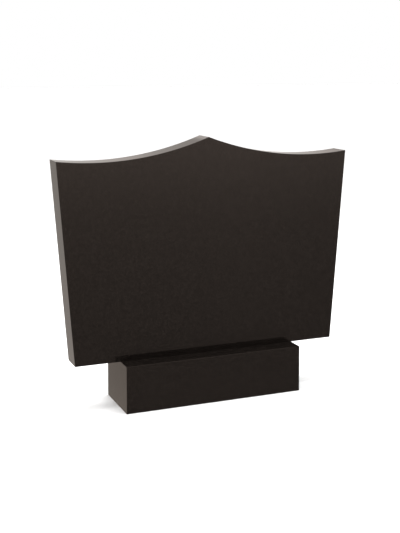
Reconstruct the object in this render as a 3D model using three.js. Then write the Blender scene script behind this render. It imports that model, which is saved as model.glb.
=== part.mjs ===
// A memorial headstone: a wide upright slab of polished dark granite on a plain plinth block.
//
// The slab is broadest at its shoulders, its two flanks draw in towards the foot, and its top is
// two shallow hollow curves that rise from the shoulders to a peak in the middle. It stands on
// its foot in the middle of the plinth, and overhangs it at both ends.
//
// Millimetres, +Z up. The front faces -Y and the width runs along X. The origin is the middle of
// the plinth's underside, where the headstone meets the ground.

import * as THREE from 'three';

// Driving dimensions of the slab
const slabShoulderWidth = 1000; // across both shoulders, its widest place
const slabFootWidth = 895; // across the foot
const slabShoulderHeight = 640; // from the foot up to a shoulder
const slabPeakRise = 60; // from the shoulders up to the peak
const slabThickness = 80;
const topCurveDip = 31; // how deep each top curve hangs under a straight line from shoulder to peak

// Driving dimensions of the plinth
const plinthWidth = 600;
const plinthDepth = 200;
const plinthHeight = 150;

// Finish of the edges, and how finely the top curves are faceted
const arris = 2; // the narrow flat ground along every sharp edge, measured back from the edge
const curveDivisions = 12; // each top curve gets twice this many straight facets

// The point at a distance from one corner of an outline, on the straight line to the next corner.
function stepTowards(from, to, distance) {
  return from.clone().add(to.clone().sub(from).setLength(distance));
}

// Continues an outline along a top curve, from right to left. The curve is an arc that hangs under
// the straight line between its ends by the dip, and it stops short of both of them by the arris.
function addHollowCurve(outline, from, to) {
  const chord = to.clone().sub(from);
  const radius = chord.lengthSq() / (8 * topCurveDip) + topCurveDip / 2;
  const upward = new THREE.Vector2(chord.y, -chord.x).normalize();
  const centre = from.clone().addScaledVector(chord, 0.5);
  centre.addScaledVector(upward, radius - topCurveDip);

  const trim = arris / radius;
  const start = from.clone().sub(centre).angle() - trim;
  const end = to.clone().sub(centre).angle() + trim;
  outline.absarc(centre.x, centre.y, radius, start, end, true);
}

// The slab's front view, in X and height above its foot, with each corner cut by the arris.
function slabOutline() {
  const footRight = new THREE.Vector2(slabFootWidth / 2, 0);
  const footLeft = new THREE.Vector2(-slabFootWidth / 2, 0);
  const shoulderRight = new THREE.Vector2(slabShoulderWidth / 2, slabShoulderHeight);
  const shoulderLeft = new THREE.Vector2(-slabShoulderWidth / 2, slabShoulderHeight);
  const peak = new THREE.Vector2(0, slabShoulderHeight + slabPeakRise);

  const outline = new THREE.Shape();
  outline.moveTo(...stepTowards(footLeft, footRight, arris));
  outline.lineTo(...stepTowards(footRight, footLeft, arris));
  outline.lineTo(...stepTowards(footRight, shoulderRight, arris));
  outline.lineTo(...stepTowards(shoulderRight, footRight, arris));
  addHollowCurve(outline, shoulderRight, peak);
  addHollowCurve(outline, peak, shoulderLeft);
  outline.lineTo(...stepTowards(shoulderLeft, footLeft, arris));
  outline.lineTo(...stepTowards(footLeft, shoulderLeft, arris));
  outline.closePath();
  return outline;
}

// The plinth's front view, a rectangle with each corner cut by the arris.
function plinthOutline() {
  const side = plinthWidth / 2;
  const corners = [
    new THREE.Vector2(-side, 0),
    new THREE.Vector2(side, 0),
    new THREE.Vector2(side, plinthHeight),
    new THREE.Vector2(-side, plinthHeight),
  ];
  const cut = corners.flatMap((corner, i) => {
    const before = corners[(i + corners.length - 1) % corners.length];
    const after = corners[(i + 1) % corners.length];
    return [stepTowards(corner, before, arris), stepTowards(corner, after, arris)];
  });
  return new THREE.Shape(cut);
}

// A stone of an even depth, centred on Y, from its front view. Its front and back edges get the arris.
function cutStone(outline, depth) {
  const straight = depth - 2 * arris;
  const stone = new THREE.ExtrudeGeometry(outline, {
    depth: straight,
    curveSegments: curveDivisions,
    bevelEnabled: true,
    bevelThickness: arris,
    bevelSize: arris,
    bevelOffset: -arris,
    bevelSegments: 1,
  });
  stone.translate(0, 0, -straight / 2);
  return stone.rotateX(Math.PI / 2);
}

function polishedGranite() {
  return new THREE.MeshStandardMaterial({ color: '#2b2623', roughness: 0.1, metalness: 0 });
}

const plinth = new THREE.Mesh(cutStone(plinthOutline(), plinthDepth), polishedGranite());
plinth.name = 'plinth';

const slab = new THREE.Mesh(cutStone(slabOutline(), slabThickness), polishedGranite());
slab.name = 'headstone_slab';
slab.position.z = plinthHeight;

const headstone = new THREE.Group();
headstone.add(plinth, slab);

export default headstone;
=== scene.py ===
# %% [markdown]
# # A headstone of polished dark granite
#
# The real object is two pieces of stone. A wide upright slab, broadest at its shoulders and with
# two hollow curves rising to a peak, stands on a plain block, the plinth. Both are sawn from one
# dark, brownish black stone, and every face that shows is polished until it mirrors.
#
# So there is little to carve here, and nearly everything is in three things: an outline that is
# exact, an edge that catches the light as a ground edge does, and a polish with real crystals
# under it. Sizes are in metres, Z is up and the front faces -Y.

# %% The frame: the same two stones, as the shop drawing has them
import math

import bpy
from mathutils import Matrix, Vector


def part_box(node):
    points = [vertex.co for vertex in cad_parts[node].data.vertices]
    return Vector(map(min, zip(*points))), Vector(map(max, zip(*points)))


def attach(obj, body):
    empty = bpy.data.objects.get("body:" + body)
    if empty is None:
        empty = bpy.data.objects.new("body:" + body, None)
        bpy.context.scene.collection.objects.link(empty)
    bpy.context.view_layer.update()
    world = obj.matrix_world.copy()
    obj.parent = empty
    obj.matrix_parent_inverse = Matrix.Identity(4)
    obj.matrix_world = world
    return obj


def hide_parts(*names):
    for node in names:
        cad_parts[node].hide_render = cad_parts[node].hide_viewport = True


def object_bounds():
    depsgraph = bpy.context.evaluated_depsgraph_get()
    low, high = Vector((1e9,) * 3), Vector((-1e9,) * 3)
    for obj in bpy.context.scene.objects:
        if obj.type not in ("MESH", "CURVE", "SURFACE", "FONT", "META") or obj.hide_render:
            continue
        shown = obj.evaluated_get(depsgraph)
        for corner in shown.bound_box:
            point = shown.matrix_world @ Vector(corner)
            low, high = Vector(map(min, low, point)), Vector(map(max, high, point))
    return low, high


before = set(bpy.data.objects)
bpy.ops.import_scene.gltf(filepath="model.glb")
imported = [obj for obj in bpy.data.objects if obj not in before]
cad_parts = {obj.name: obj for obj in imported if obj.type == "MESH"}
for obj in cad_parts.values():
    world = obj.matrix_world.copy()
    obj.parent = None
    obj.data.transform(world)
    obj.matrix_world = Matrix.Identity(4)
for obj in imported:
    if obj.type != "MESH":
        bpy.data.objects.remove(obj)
frame_low, frame_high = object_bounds()
slab_low, slab_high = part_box("headstone_slab")
plinth_low, plinth_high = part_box("plinth")
print("stones in the frame:", sorted(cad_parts))
print("overall size:", [round(v, 4) for v in frame_high - frame_low])

# %% [markdown]
# ## The camera
#
# The photograph was taken from the left of the stone, from a little higher than its peak. The
# upright edges stay nearly parallel in it, as they do when the camera is held level and the lens
# is shifted down. A part of that shift is kept, and the camera is tilted for the rest.

# %% The camera at the photograph's place
PICTURE_HEIGHT = 533  # pixels, the long side
FOCAL_PIXELS = 1007.2
CAMERA_TURN = math.radians(-22.10)  # round the stone, to its left
CAMERA_TILT = math.radians(5.06)  # down from level
CAMERA_PLACE = (-1.2325, -2.9990, 1.1114)
LENS_SHIFT = -0.23  # down, as a share of the picture's long side

lens = bpy.data.cameras.new("camera")
lens.sensor_width = 36.0
lens.lens = FOCAL_PIXELS / PICTURE_HEIGHT * lens.sensor_width
lens.shift_y = LENS_SHIFT
camera = bpy.data.objects.new("camera", lens)
camera.location = CAMERA_PLACE
camera.rotation_euler = (math.pi / 2 - CAMERA_TILT, 0, CAMERA_TURN)
bpy.context.collection.objects.link(camera)
bpy.context.scene.camera = camera
print(f"lens {lens.lens:.1f} mm")

# %% [markdown]
# ## Building node trees by name
#
# Geometry Nodes and shader nodes are made by the same few calls. One helper adds a node, sets its
# properties, and gives each socket either a value or a link from another node. One makes a group
# with named sockets, and one sets the stops of a colour ramp.


# %% Three helpers for trees
def add_node(tree, kind, sockets=None, **settings):
    """Adds a node. Each socket is given a value, or the output of another node to link to it."""
    node = tree.nodes.new(kind)
    for name, value in settings.items():
        setattr(node, name, value)
    for key, value in (sockets or {}).items():
        if isinstance(value, bpy.types.NodeSocket):
            tree.links.new(value, node.inputs[key])
        else:
            node.inputs[key].default_value = value
    return node


def new_group(name, kind, inputs, outputs):
    """A node group with named sockets. inputs and outputs give each name its kind of socket."""
    tree = bpy.data.node_groups.new(name, kind)
    for label, socket_kind in inputs.items():
        tree.interface.new_socket(label, in_out="INPUT", socket_type=socket_kind)
    for label, socket_kind in outputs.items():
        tree.interface.new_socket(label, in_out="OUTPUT", socket_type=socket_kind)
    return tree, tree.nodes.new("NodeGroupInput"), tree.nodes.new("NodeGroupOutput")


def fill_ramp(node, stops):
    """Sets a colour ramp to the given places and colours."""
    ramp = node.color_ramp
    while len(ramp.elements) < len(stops):
        ramp.elements.new(1.0)
    for element, (position, colour) in zip(ramp.elements, stops):
        element.position = position
        element.color = (*colour, 1.0)


# %% [markdown]
# ## The crystals in the stone
#
# Close up, a dark gabbro is a tight mosaic of crystals one to three millimetres across. Most are
# near-black pyroxene. Between them lie thin laths of brown-grey feldspar, pointing every way. From
# a step away they all melt into a faint cloudiness.
#
# A Voronoi texture gives each crystal its own random shade. The laths are Voronoi cells too, in
# space that is stretched along a few tilted directions. A little noise bends the straight borders.
# Polished and sawn faces show the same crystals, so they are one group that both finishes use.

# %% The crystal group: where a point is, in bent space
BENDS_PER_METRE = 500.0
BEND_SIZE = 0.0008  # metres, from one side to the other

crystals, crystals_in, crystals_out = new_group(
    "Gabbro Crystals",
    "ShaderNodeTree",
    {"Crystal Size": "NodeSocketFloat", "Brightness": "NodeSocketFloat", "Polish": "NodeSocketFloat"},
    {"Color": "NodeSocketColor", "Roughness": "NodeSocketFloat", "Height": "NodeSocketFloat"},
)
place = add_node(crystals, "ShaderNodeTexCoord").outputs["Object"]
bend = add_node(
    crystals, "ShaderNodeTexNoise", {"Vector": place, "Scale": BENDS_PER_METRE, "Detail": 2.0}
)
centred_bend = add_node(
    crystals,
    "ShaderNodeVectorMath",
    {0: bend.outputs["Color"], 1: (0.5, 0.5, 0.5)},
    operation="SUBTRACT",
)
scaled_bend = add_node(
    crystals,
    "ShaderNodeVectorMath",
    {0: centred_bend.outputs[0], "Scale": BEND_SIZE},
    operation="SCALE",
)
bent_place = add_node(
    crystals, "ShaderNodeVectorMath", {0: place, 1: scaled_bend.outputs[0]}, operation="ADD"
).outputs[0]
per_metre = add_node(
    crystals,
    "ShaderNodeMath",
    {0: 1.0, 1: crystals_in.outputs["Crystal Size"]},
    operation="DIVIDE",
).outputs[0]
print("borders bent by up to", BEND_SIZE / 2 * 1000, "mm")

# %% The dark crystals
PYROXENE = (
    (0.00, (0.0007, 0.0006, 0.0005)),
    (0.50, (0.0018, 0.0014, 0.0012)),
    (0.85, (0.0042, 0.0033, 0.0029)),
    (0.98, (0.0100, 0.0079, 0.0068)),
)

mosaic = add_node(crystals, "ShaderNodeTexVoronoi", {"Vector": bent_place, "Scale": per_metre})
shade = add_node(crystals, "ShaderNodeSeparateColor", {"Color": mosaic.outputs["Color"]})
pyroxene = add_node(crystals, "ShaderNodeValToRGB", {"Fac": shade.outputs["Red"]})
fill_ramp(pyroxene, PYROXENE)
print("shades of pyroxene:", len(PYROXENE))

# %% The feldspar laths
LATH_TILTS = ((0.4, 0.3, 0.0), (1.5, -0.5, 0.9), (-0.9, 1.1, 0.4), (0.2, 1.5, -0.7))
LATH_WIDTH = 0.4  # of a crystal's size
LATH_LENGTH = 1.6
LATH_RARITY = 0.90  # the share of stretched cells that stay dark, in each direction
LATH_FAINTEST = 0.35  # how much of the feldspar's colour the faintest lath has
FELDSPAR = (0.0107, 0.0085, 0.0073, 1.0)

lath_mask = 0.0
for tilt in LATH_TILTS:
    stretched = add_node(
        crystals,
        "ShaderNodeMapping",
        {"Vector": bent_place, "Rotation": tilt, "Scale": (LATH_WIDTH, LATH_WIDTH, LATH_LENGTH)},
        vector_type="TEXTURE",
    )
    cells = add_node(
        crystals, "ShaderNodeTexVoronoi", {"Vector": stretched.outputs[0], "Scale": per_metre}
    )
    pick = add_node(crystals, "ShaderNodeSeparateColor", {"Color": cells.outputs["Color"]})
    lath = add_node(
        crystals,
        "ShaderNodeMapRange",
        {"Value": pick.outputs["Green"], "From Min": LATH_RARITY, "To Min": LATH_FAINTEST},
    )
    is_lath = add_node(
        crystals,
        "ShaderNodeMath",
        {0: pick.outputs["Green"], 1: LATH_RARITY},
        operation="GREATER_THAN",
    )
    shown = add_node(
        crystals,
        "ShaderNodeMath",
        {0: lath.outputs["Result"], 1: is_lath.outputs[0]},
        operation="MULTIPLY",
    )
    lath_mask = add_node(
        crystals, "ShaderNodeMath", {0: shown.outputs[0], 1: lath_mask}, operation="MAXIMUM"
    ).outputs[0]

mineral = add_node(
    crystals,
    "ShaderNodeMix",
    {"Factor": lath_mask, "A": pyroxene.outputs["Color"]},
    data_type="RGBA",
)
mineral.inputs["B"].default_value = FELDSPAR
print("laths lie in", len(LATH_TILTS), "directions")

# %% The cloudiness
CLOUDS_PER_METRE = 115.0
CLOUD_LOW, CLOUD_HIGH = 0.3, 0.7  # the noise seldom leaves this range
DIMMEST, BRIGHTEST = 0.55, 1.45  # what a cloud does to the crystals' colour

cloud = add_node(
    crystals,
    "ShaderNodeTexNoise",
    {"Vector": place, "Scale": CLOUDS_PER_METRE, "Detail": 3.0, "Roughness": 0.65},
)
cloud_gain = add_node(
    crystals,
    "ShaderNodeMapRange",
    {
        "Value": cloud.outputs["Fac"],
        "From Min": CLOUD_LOW,
        "From Max": CLOUD_HIGH,
        "To Min": DIMMEST,
        "To Max": BRIGHTEST,
    },
)
gain = add_node(
    crystals,
    "ShaderNodeMath",
    {0: cloud_gain.outputs["Result"], 1: crystals_in.outputs["Brightness"]},
    operation="MULTIPLY",
)
stone_colour = add_node(
    crystals,
    "ShaderNodeVectorMath",
    {0: mineral.outputs["Result"], "Scale": gain.outputs[0]},
    operation="SCALE",
)
print("clouds dim to", DIMMEST, "and brighten to", BRIGHTEST)

# %% The polish, and what the group puts out
POLISH_SPREAD = 0.05  # how much rougher the softest crystals come out than the hardest

polish = add_node(
    crystals,
    "ShaderNodeMath",
    {0: shade.outputs["Green"], 1: POLISH_SPREAD, 2: crystals_in.outputs["Polish"]},
    operation="MULTIPLY_ADD",
)
crystals.links.new(stone_colour.outputs[0], crystals_out.inputs["Color"])
crystals.links.new(polish.outputs[0], crystals_out.inputs["Roughness"])
crystals.links.new(shade.outputs["Blue"], crystals_out.inputs["Height"])
print("crystal group:", len(crystals.nodes), "nodes")

# %% [markdown]
# ## Two finishes of one stone
#
# Polished faces reflect like dark glass. What they reflect head on is tinted a warm brown by the
# crystals, and at a low angle they mirror what is behind them. Both finishes use the crystal group,
# each with its own brightness, polish and depth of relief in metres. A sawn face is full of tiny
# cracks that scatter the light, so it is far brighter than a polished one.


# %% A material of the crystals
CRYSTAL_SIZE = 0.0018
REFRACTIVE_INDEX = 1.5


def granite(name, brightness, polish, relief):
    """A material of the stone's crystals, with its own brightness, polish and depth of relief."""
    material = bpy.data.materials.new(name)
    material.use_nodes = True
    tree = material.node_tree
    surface = tree.nodes["Principled BSDF"]
    group = add_node(tree, "ShaderNodeGroup", node_tree=crystals)
    group.inputs["Crystal Size"].default_value = CRYSTAL_SIZE
    group.inputs["Brightness"].default_value = brightness
    group.inputs["Polish"].default_value = polish
    relief_map = add_node(
        tree,
        "ShaderNodeBump",
        {"Height": group.outputs["Height"], "Distance": relief, "Strength": 1.0},
    )
    tree.links.new(group.outputs["Color"], surface.inputs["Base Color"])
    tree.links.new(group.outputs["Roughness"], surface.inputs["Roughness"])
    tree.links.new(relief_map.outputs["Normal"], surface.inputs["Normal"])
    surface.inputs["IOR"].default_value = REFRACTIVE_INDEX
    print(name, "brightness", brightness, "roughness from", polish, "relief", relief * 1000, "mm")
    return material, surface, relief_map


# %% The two finishes
WARM_MIRROR = (1.0, 0.787, 0.672, 1.0)  # the tint of what is mirrored head on

polished, polished_surface, _ = granite("polished_gabbro", brightness=1.0, polish=0.03, relief=2e-7)
polished_surface.inputs["Specular Tint"].default_value = WARM_MIRROR
sawn, _, sawn_relief = granite("sawn_gabbro", brightness=9.0, polish=0.75, relief=8e-5)

# %% [markdown]
# ## Saw marks
#
# The undersides were never polished. They stay as the saw left them, grey and matt, with shallow
# grooves where the blade swung through the block. The grooves are a tenth of a millimetre deep, too
# little to model. So a wave texture with a slight wander is a second bump, and the bump of the
# crystals is laid over it.

# %% The saw's grooves
GROOVE_SPACING = 0.006
GROOVE_DEPTH = 0.00012
GROOVE_WANDER = 1.2
WAVES_PER_METRE = 20.0 / math.tau  # of a wave texture whose scale is 1

grooves = add_node(
    sawn.node_tree,
    "ShaderNodeTexWave",
    {
        "Vector": add_node(sawn.node_tree, "ShaderNodeTexCoord").outputs["Object"],
        "Scale": 1.0 / (GROOVE_SPACING * WAVES_PER_METRE),
        "Distortion": GROOVE_WANDER,
        "Detail": 2.0,
        "Detail Scale": 0.15,
    },
    bands_direction="X",
    wave_profile="SIN",
)
groove_map = add_node(
    sawn.node_tree,
    "ShaderNodeBump",
    {"Height": grooves.outputs["Fac"], "Distance": GROOVE_DEPTH, "Strength": 1.0},
)
sawn.node_tree.links.new(groove_map.outputs["Normal"], sawn_relief.inputs["Normal"])
print("grooves", GROOVE_SPACING * 1000, "mm apart")

# %% [markdown]
# ## From an outline to a stone
#
# Both stones are a flat outline cut through an even thickness, which is just what a stone saw
# does. So one Geometry Nodes group does it for both: it fills the outline, stands it up, extrudes
# it from the back to the front, closes the back, and sets the finish. A change of the outline or
# the thickness then needs no new modelling.

# %% The sawing group: from the outline to a filled face
WELD = 1e-5  # points closer than this are joined

saw, saw_in, saw_out = new_group(
    "Saw Stone",
    "GeometryNodeTree",
    {
        "Outline": "NodeSocketGeometry",
        "Thickness": "NodeSocketFloat",
        "Foot Height": "NodeSocketFloat",
        "Finish": "NodeSocketMaterial",
    },
    {"Stone": "NodeSocketGeometry"},
)
loop_edges = add_node(saw, "GeometryNodeCurveToMesh", {"Curve": saw_in.outputs["Outline"]})
joined_edges = add_node(
    saw, "GeometryNodeMergeByDistance", {"Geometry": loop_edges.outputs["Mesh"], "Distance": WELD}
)
closed_loop = add_node(saw, "GeometryNodeMeshToCurve", {"Mesh": joined_edges.outputs["Geometry"]})
face = add_node(
    saw, "GeometryNodeFillCurve", {"Curve": closed_loop.outputs["Curve"]}, mode="NGONS"
)
print("points closer than", WELD * 1000, "mm are joined")

# %% The sawing group: from the face to a stone
half_thickness = add_node(
    saw, "ShaderNodeMath", {0: saw_in.outputs["Thickness"], 1: 0.5}, operation="MULTIPLY"
)
back_place = add_node(
    saw,
    "ShaderNodeCombineXYZ",
    {"Y": half_thickness.outputs[0], "Z": saw_in.outputs["Foot Height"]},
)
back = add_node(
    saw,
    "GeometryNodeTransform",
    {
        "Geometry": face.outputs["Mesh"],
        "Translation": back_place.outputs[0],
        "Rotation": (math.pi / 2, 0.0, 0.0),
    },
)
body = add_node(
    saw,
    "GeometryNodeExtrudeMesh",
    {
        "Mesh": back.outputs["Geometry"],
        "Offset": (0.0, -1.0, 0.0),
        "Offset Scale": saw_in.outputs["Thickness"],
        "Individual": False,
    },
    mode="FACES",
)
back_cap = add_node(saw, "GeometryNodeFlipFaces", {"Mesh": back.outputs["Geometry"]})
shell = add_node(saw, "GeometryNodeJoinGeometry", {"Geometry": body.outputs["Mesh"]})
saw.links.new(back_cap.outputs["Mesh"], shell.inputs["Geometry"])
closed = add_node(
    saw, "GeometryNodeMergeByDistance", {"Geometry": shell.outputs["Geometry"], "Distance": WELD}
)
smooth = add_node(saw, "GeometryNodeSetShadeSmooth", {"Geometry": closed.outputs["Geometry"]})
real = add_node(saw, "GeometryNodeRealizeInstances", {"Geometry": smooth.outputs["Geometry"]})
finished = add_node(
    saw,
    "GeometryNodeSetMaterial",
    {"Geometry": real.outputs["Geometry"], "Material": saw_in.outputs["Finish"]},
)
saw.links.new(finished.outputs["Geometry"], saw_out.inputs["Stone"])
print("sawing group:", len(saw.nodes), "nodes")

# %% [markdown]
# ## The slab's outline
#
# Three strokes draw the right half: half of the foot, the flank up to the shoulder, and the top
# curve up to the peak. The top curve is an arc through three points, and the middle one is where
# a straight line from shoulder to peak would be, less the dip. The left half is the mirror image.

# %% The slab's tree: its sizes
slab_tree, slab_in, slab_out = new_group(
    "Headstone Slab",
    "GeometryNodeTree",
    {
        "Foot Corner": "NodeSocketVector",
        "Shoulder": "NodeSocketVector",
        "Curve Middle": "NodeSocketVector",
        "Peak": "NodeSocketVector",
        "Curve Points": "NodeSocketInt",
        "Thickness": "NodeSocketFloat",
        "Foot Height": "NodeSocketFloat",
        "Finish": "NodeSocketMaterial",
    },
    {"Stone": "NodeSocketGeometry"},
)
print("slab tree, inputs:", [s.name for s in slab_tree.interface.items_tree if s.in_out == "INPUT"])

# %% The slab's tree: the three strokes
half_foot = add_node(
    slab_tree, "GeometryNodeCurvePrimitiveLine", {"End": slab_in.outputs["Foot Corner"]}
)
half_foot.inputs["Start"].default_value = (0.0, 0.0, 0.0)
flank = add_node(
    slab_tree,
    "GeometryNodeCurvePrimitiveLine",
    {"Start": slab_in.outputs["Foot Corner"], "End": slab_in.outputs["Shoulder"]},
)
top_curve = add_node(
    slab_tree,
    "GeometryNodeCurveArc",
    {
        "Resolution": slab_in.outputs["Curve Points"],
        "Start": slab_in.outputs["Shoulder"],
        "Middle": slab_in.outputs["Curve Middle"],
        "End": slab_in.outputs["Peak"],
    },
    mode="POINTS",
)
print("strokes:", [stroke.name for stroke in (half_foot, flank, top_curve)])

# %% The slab's tree: both halves, sawn
right_half = add_node(slab_tree, "GeometryNodeJoinGeometry")
for stroke in (half_foot, flank, top_curve):
    slab_tree.links.new(stroke.outputs["Curve"], right_half.inputs["Geometry"])
left_half = add_node(
    slab_tree,
    "GeometryNodeTransform",
    {"Geometry": right_half.outputs["Geometry"], "Scale": (-1.0, 1.0, 1.0)},
)
outline = add_node(slab_tree, "GeometryNodeJoinGeometry")
for half in (right_half, left_half):
    slab_tree.links.new(half.outputs["Geometry"], outline.inputs["Geometry"])


def saw_outline(tree, group_in, group_out, drawn):
    """Puts the sawing group after an outline, with the sizes and the finish that the tree is given."""
    sawing = add_node(tree, "GeometryNodeGroup", node_tree=saw)
    tree.links.new(drawn, sawing.inputs["Outline"])
    for name in ("Thickness", "Foot Height", "Finish"):
        tree.links.new(group_in.outputs[name], sawing.inputs[name])
    tree.links.new(sawing.outputs["Stone"], group_out.inputs["Stone"])


saw_outline(slab_tree, slab_in, slab_out, outline.outputs["Geometry"])
print("slab tree:", len(slab_tree.nodes), "nodes")

# %% [markdown]
# ## The plinth's outline
#
# The plinth is a plain block, so its front view is a rectangle standing on the ground.

# %% The plinth's tree
plinth_tree, plinth_in, plinth_out = new_group(
    "Plinth Block",
    "GeometryNodeTree",
    {
        "Width": "NodeSocketFloat",
        "Height": "NodeSocketFloat",
        "Thickness": "NodeSocketFloat",
        "Foot Height": "NodeSocketFloat",
        "Finish": "NodeSocketMaterial",
    },
    {"Stone": "NodeSocketGeometry"},
)
rectangle = add_node(
    plinth_tree,
    "GeometryNodeCurvePrimitiveQuadrilateral",
    {"Width": plinth_in.outputs["Width"], "Height": plinth_in.outputs["Height"]},
)
half_height = add_node(
    plinth_tree, "ShaderNodeMath", {0: plinth_in.outputs["Height"], 1: 0.5}, operation="MULTIPLY"
)
lift = add_node(plinth_tree, "ShaderNodeCombineXYZ", {"Y": half_height.outputs[0]})
standing = add_node(
    plinth_tree,
    "GeometryNodeTransform",
    {"Geometry": rectangle.outputs["Curve"], "Translation": lift.outputs[0]},
)
saw_outline(plinth_tree, plinth_in, plinth_out, standing.outputs["Geometry"])
print("plinth tree:", len(plinth_tree.nodes), "nodes")

# %% [markdown]
# ## The ground edge
#
# A sharp edge of polished stone would chip and cut, so the mason takes it off with a few strokes
# of a diamond pad. A Bevel modifier does the same to every edge that turns by more than 30 degrees.
# Its hardened normals keep the big faces dead flat in the light, so that they mirror without a
# wobble. The underside then gets its sawn finish, picked out by the way its faces point.

# %% Cutting a stone and easing its edges
ARRIS = 0.0004
ARRIS_SEGMENTS = 3
SHARP_EDGE = math.radians(30)
UNDERSIDE = -0.99  # a face whose normal points this far down was left as sawn


def cut_stone(name, tree, sizes):
    """Makes one stone from its tree, eases its edges, and keeps the result as a plain mesh."""
    stone = bpy.data.objects.new(name, bpy.data.meshes.new(name))
    bpy.context.collection.objects.link(stone)
    shape = stone.modifiers.new("shape", "NODES")
    shape.node_group = tree
    for socket in tree.interface.items_tree:
        if socket.in_out == "INPUT":
            shape[socket.identifier] = sizes[socket.name]
    ease = stone.modifiers.new("ease", "BEVEL")
    ease.width = ARRIS
    ease.segments = ARRIS_SEGMENTS
    ease.limit_method = "ANGLE"
    ease.angle_limit = SHARP_EDGE
    ease.harden_normals = True

    ready = stone.evaluated_get(bpy.context.evaluated_depsgraph_get())
    mesh = bpy.data.meshes.new_from_object(ready)
    stone.modifiers.clear()
    stone.data = mesh
    mesh.materials.clear()
    for finish in (polished, sawn):
        mesh.materials.append(finish)
    for face in mesh.polygons:
        face.material_index = 1 if face.normal.z < UNDERSIDE else 0
    print(name, "size", [round(v, 4) for v in stone.dimensions], "faces", len(mesh.polygons))
    return stone


# %% The slab
SHOULDER_WIDTH = 1.000
FOOT_WIDTH = 0.895
SHOULDER_HEIGHT = 0.640
PEAK_RISE = 0.060
CURVE_DIP = 0.031
CURVE_POINTS = 65

shoulder = Vector((SHOULDER_WIDTH / 2, SHOULDER_HEIGHT, 0))
peak = Vector((0, SHOULDER_HEIGHT + PEAK_RISE, 0))
along = (peak - shoulder).normalized()
below = Vector((-along.y, along.x, 0))

slab = cut_stone(
    "memorial_slab",
    slab_tree,
    {
        "Foot Corner": (FOOT_WIDTH / 2, 0, 0),
        "Shoulder": shoulder,
        "Curve Middle": (shoulder + peak) / 2 + below * CURVE_DIP,
        "Peak": peak,
        "Curve Points": CURVE_POINTS,
        "Thickness": slab_high.y - slab_low.y,
        "Foot Height": slab_low.z,
        "Finish": polished,
    },
)
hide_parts("headstone_slab")
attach(slab, "root")

# %% The plinth
plinth = cut_stone(
    "plinth_block",
    plinth_tree,
    {
        "Width": plinth_high.x - plinth_low.x,
        "Height": plinth_high.z - plinth_low.z,
        "Thickness": plinth_high.y - plinth_low.y,
        "Foot Height": plinth_low.z,
        "Finish": polished,
    },
)
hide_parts("plinth")
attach(plinth, "root")

# %% [markdown]
# ## The sheen over the peak
#
# The polisher's pad rolls over the peak, and the mirror image brightens evenly over the last few
# centimetres before the ridge. A rounded ridge would do that too, but it would blunt the outline,
# which is crisp in the photograph. So only the normals are turned, little by little, to straight up
# at the ridge, and the shape stays as it is.

# %% Turning the normals near the ridge
SHEEN_REACH = 0.036  # to either side of the ridge

mesh = slab.data
turned = []
for corner, facing in zip(mesh.loops, mesh.corner_normals):
    from_ridge = abs(mesh.vertices[corner.vertex_index].co.x)
    normal = facing.vector.copy()
    normal.x *= min(1.0, from_ridge / SHEEN_REACH)
    turned.append(normal.normalized())
mesh.normals_split_custom_set(turned)
print("normals turned within", SHEEN_REACH * 1000, "mm of the ridge")

# %% [markdown]
# ## The studio
#
# A polished stone shows the room more than itself, so the room is made for what it mirrors. The
# floor is plain white paper. It is hidden from the mirror image, because the tent below takes its
# place there, with the shading that the front of the stone is to have.

# %% The floor
FLOOR_SIZE = 60.0
PAPER = (0.63, 0.63, 0.63, 1.0)

bpy.ops.mesh.primitive_plane_add(size=FLOOR_SIZE, location=(0, 0, frame_low.z))
floor = bpy.context.object
floor.name = "floor"
paper = bpy.data.materials.new("white_paper")
paper.use_nodes = True
paper_surface = paper.node_tree.nodes["Principled BSDF"]
paper_surface.inputs["Base Color"].default_value = PAPER
paper_surface.inputs["Roughness"].default_value = 1.0
paper_surface.inputs["Specular IOR Level"].default_value = 0.0
floor.data.materials.append(paper)
floor.visible_glossy = False
print("floor", FLOOR_SIZE, "m wide")

# %% [markdown]
# ## The softbox
#
# One large soft lamp hangs over the stone, lights the paper evenly, and leaves a faint shadow round
# the plinth. It isn't mirrored either, or it would show as a bright square on the plinth's ledge.

# %% The lamp over the stone
LAMP_HEIGHT = 4.0
LAMP_SIZE = 3.0
LAMP_POWER = 330.0

softbox = bpy.data.lights.new("softbox", "AREA")
softbox.size = LAMP_SIZE
softbox.energy = LAMP_POWER
lamp = bpy.data.objects.new("softbox", softbox)
lamp.location = (0, 0, LAMP_HEIGHT)
lamp.visible_glossy = False
bpy.context.collection.objects.link(lamp)
print("softbox", LAMP_SIZE, "m wide,", LAMP_HEIGHT, "m up,", LAMP_POWER, "W")

# %% [markdown]
# ## The light tent
#
# The rest of the light comes from a tent of soft shades, made in the world's nodes so that no wall
# stands in the way of the camera. The stone mirrors two halves of it:
#
# - The front half shades the big faces. It is brightest just over the horizon, falls off towards
#   the ground, and fades a little to the right. A dark strip above it keeps the plinth's ledge
#   and the seam dark.
# - The back half is a warm grey. The top curves and the flanks mirror it at a low angle, and a
#   curtain at its left end takes the flank down to a deep brown.

# %% Where a ray meets the tent
world = bpy.data.worlds.new("light_tent")
bpy.context.scene.world = world
world.use_nodes = True
tent = world.node_tree
direction = add_node(tent, "ShaderNodeTexCoord")
parts = add_node(tent, "ShaderNodeSeparateXYZ", {"Vector": direction.outputs["Generated"]})
print("world:", world.name)


def tent_ramp(stops):
    """Shades the tent by height over the horizon. Each stop is an angle in degrees and a colour."""
    height = add_node(
        tent,
        "ShaderNodeMath",
        {0: parts.outputs["Z"], 1: 0.5, 2: 0.5},
        operation="MULTIPLY_ADD",
    )
    ramp = add_node(tent, "ShaderNodeValToRGB", {"Fac": height.outputs[0]})
    fill_ramp(ramp, [(math.sin(math.radians(a)) / 2 + 0.5, c) for a, c in stops])
    print("tent shaded from", stops[0][0], "to", stops[-1][0], "degrees")
    return ramp.outputs["Color"]


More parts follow.
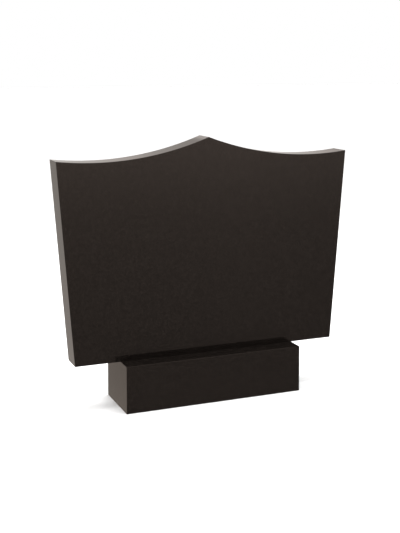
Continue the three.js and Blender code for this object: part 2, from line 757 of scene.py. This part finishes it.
# %% The front half
FRONT_TENT = (
    (-17, (0.300, 0.300, 0.300)),
    (-12.5, (0.383, 0.383, 0.383)),
    (-9.5, (0.478, 0.478, 0.478)),
    (-7.5, (0.62, 0.62, 0.62)),
    (-5, (0.87, 0.87, 0.87)),
    (1, (1.02, 1.02, 1.02)),
    (6, (0.95, 0.95, 0.95)),
    (12, (0.26, 0.26, 0.26)),
    (24, (0.26, 0.26, 0.26)),
    (34, (1.05, 1.05, 1.05)),
    (60, (2.80, 2.80, 2.80)),
)
FADE_START, FADE_END = 0.41, 0.50  # how far to the right a ray points, 1 being all the way
FADED = 0.83  # the share of the light that is left there

front_fade = add_node(
    tent,
    "ShaderNodeMapRange",
    {
        "Value": parts.outputs["X"],
        "From Min": FADE_START,
        "From Max": FADE_END,
        "To Min": 1.0,
        "To Max": FADED,
    },
)
front_light = add_node(
    tent,
    "ShaderNodeVectorMath",
    {0: tent_ramp(FRONT_TENT), "Scale": front_fade.outputs["Result"]},
    operation="SCALE",
)

# %% The back half
BACK_TENT = (
    (-20, (0.720, 0.658, 0.605)),
    (-18, (0.632, 0.578, 0.532)),
    (-8, (0.655, 0.617, 0.573)),
    (1, (0.790, 0.750, 0.720)),
    (4.5, (0.730, 0.690, 0.655)),
    (10, (0.745, 0.675, 0.635)),
    (13, (0.662, 0.612, 0.578)),
    (18, (0.635, 0.588, 0.550)),
    (32, (1.05, 1.05, 1.05)),
    (60, (2.80, 2.80, 2.80)),
)
CURTAIN = (0.760, 0.726, 0.694, 1.0)  # the share of the back's light that passes its left end
CURTAIN_FULL, CURTAIN_EDGE = -0.29, -0.19  # where it covers the tent, and where it ends

curtain_cover = add_node(
    tent,
    "ShaderNodeMapRange",
    {
        "Value": parts.outputs["X"],
        "From Min": CURTAIN_FULL,
        "From Max": CURTAIN_EDGE,
        "To Min": 1.0,
        "To Max": 0.0,
    },
)
back_light = add_node(
    tent,
    "ShaderNodeMix",
    {"Factor": curtain_cover.outputs["Result"]},
    data_type="RGBA",
    blend_type="MULTIPLY",
)
tent.links.new(tent_ramp(BACK_TENT), back_light.inputs["A"])
back_light.inputs["B"].default_value = CURTAIN

# %% Both halves together
HALVES_MEET = 0.4  # how far to each side of the middle they melt into each other

to_back = add_node(
    tent,
    "ShaderNodeMapRange",
    {"Value": parts.outputs["Y"], "From Min": -HALVES_MEET, "From Max": HALVES_MEET},
    interpolation_type="SMOOTHSTEP",
)
lit = add_node(tent, "ShaderNodeMix", {"Factor": to_back.outputs["Result"]}, data_type="RGBA")
tent.links.new(front_light.outputs[0], lit.inputs["A"])
tent.links.new(back_light.outputs["Result"], lit.inputs["B"])
ray = add_node(tent, "ShaderNodeLightPath")
seen = add_node(tent, "ShaderNodeMix", {"Factor": ray.outputs["Is Camera Ray"]}, data_type="RGBA")
tent.links.new(lit.outputs["Result"], seen.inputs["A"])
seen.inputs["B"].default_value = (1, 1, 1, 1)
tent.links.new(seen.outputs["Result"], tent.nodes["Background"].inputs["Color"])
bpy.context.scene.view_settings.view_transform = "Standard"
print("tent:", len(tent.nodes), "nodes")
